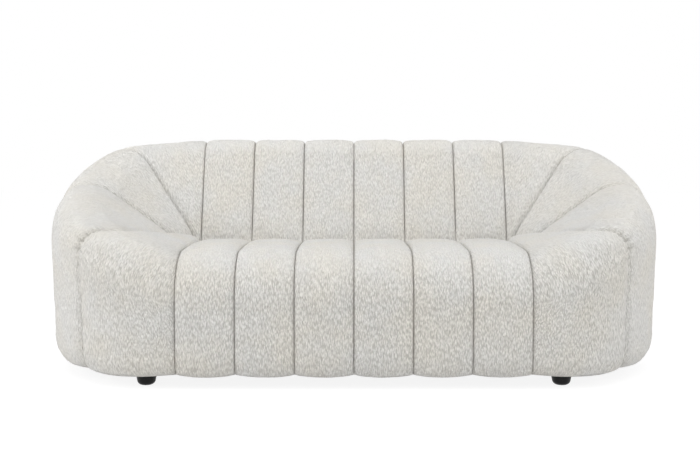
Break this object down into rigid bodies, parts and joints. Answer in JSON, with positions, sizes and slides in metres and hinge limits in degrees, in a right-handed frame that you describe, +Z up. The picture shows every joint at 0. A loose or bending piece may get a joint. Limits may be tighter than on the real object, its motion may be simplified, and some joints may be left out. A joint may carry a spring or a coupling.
{
  "type": "tuxedo sofa",
  "caption": "Rounded tub sofa with vertically channelled upholstery, arms that slope down from the back, a seat that rolls over the front edge, and short black tapered feet.",
  "frame": {"origin": "on the floor, at the middle of the overall plan", "axes": "+Z up, +Y to the back, +X to the right seen from the front; the front faces -Y"},
  "size_m": [2.1476, 0.9016, 0.799],
  "materials": {
    "cover_fabric": "matt curly pile",
    "foam": "open cell foam",
    "webbing": "woven",
    "felt": "pressed felt",
    "dust_cloth": "spunbonded cloth",
    "bolt_steel": "zinc plated",
    "foot_plastic": "satin black",
    "timber": "planed softwood",
    "thin_board": "bent thin board",
    "plywood": "sawn plywood"
  },
  "bodies": {
    "root": {"arm_channel_left": "cover_fabric", "arm_channel_right": "cover_fabric", "arm_front_rib_left": "plywood", "arm_front_rib_right": "plywood", "arm_rear_channel_left": "cover_fabric", "arm_rear_channel_right": "cover_fabric", "arm_rib_left": "plywood", "arm_rib_right": "plywood", "back_board": "thin_board", "back_channel_1": "cover_fabric", "back_channel_2": "cover_fabric", "back_channel_3": "cover_fabric", "back_channel_4": "cover_fabric", "back_channel_5": "cover_fabric", "back_channel_6": "cover_fabric", "back_corner_channel_left": "cover_fabric", "back_corner_channel_right": "cover_fabric", "back_rail": "timber", "back_rib_1": "plywood", "back_rib_2": "plywood", "back_rib_3": "plywood", "back_rib_4": "plywood", "back_webbing": "webbing", "base_plate": "plywood", "corner_rib_left": "plywood", "corner_rib_right": "plywood", "cross_panel_1": "plywood", "cross_panel_2": "plywood", "cross_panel_3": "plywood", "deck_felt": "felt", "dust_cover": "dust_cloth", "foot_bolt_front_left": "bolt_steel", "foot_bolt_front_right": "bolt_steel", "foot_bolt_rear_left": "bolt_steel", "foot_bolt_rear_right": "bolt_steel", "foot_front_left": "foot_plastic", "foot_front_right": "foot_plastic", "foot_rear_left": "foot_plastic", "foot_rear_right": "foot_plastic", "front_board": "thin_board", "front_corner_panel_left": "plywood", "front_corner_panel_right": "plywood", "rear_corner_panel_left": "plywood", "rear_corner_panel_right": "plywood", "seat_channel_1": "cover_fabric", "seat_channel_2": "cover_fabric", "seat_channel_3": "cover_fabric", "seat_channel_4": "cover_fabric", "seat_channel_5": "cover_fabric", "seat_channel_6": "cover_fabric", "seat_end_channel_left": "cover_fabric", "seat_end_channel_right": "cover_fabric", "seat_foam": "foam", "seat_plate": "plywood", "seat_webbing": "webbing", "side_board_left": "thin_board", "side_board_right": "thin_board", "side_panel_left": "plywood", "side_panel_right": "plywood"}
  },
  "joints": []
}
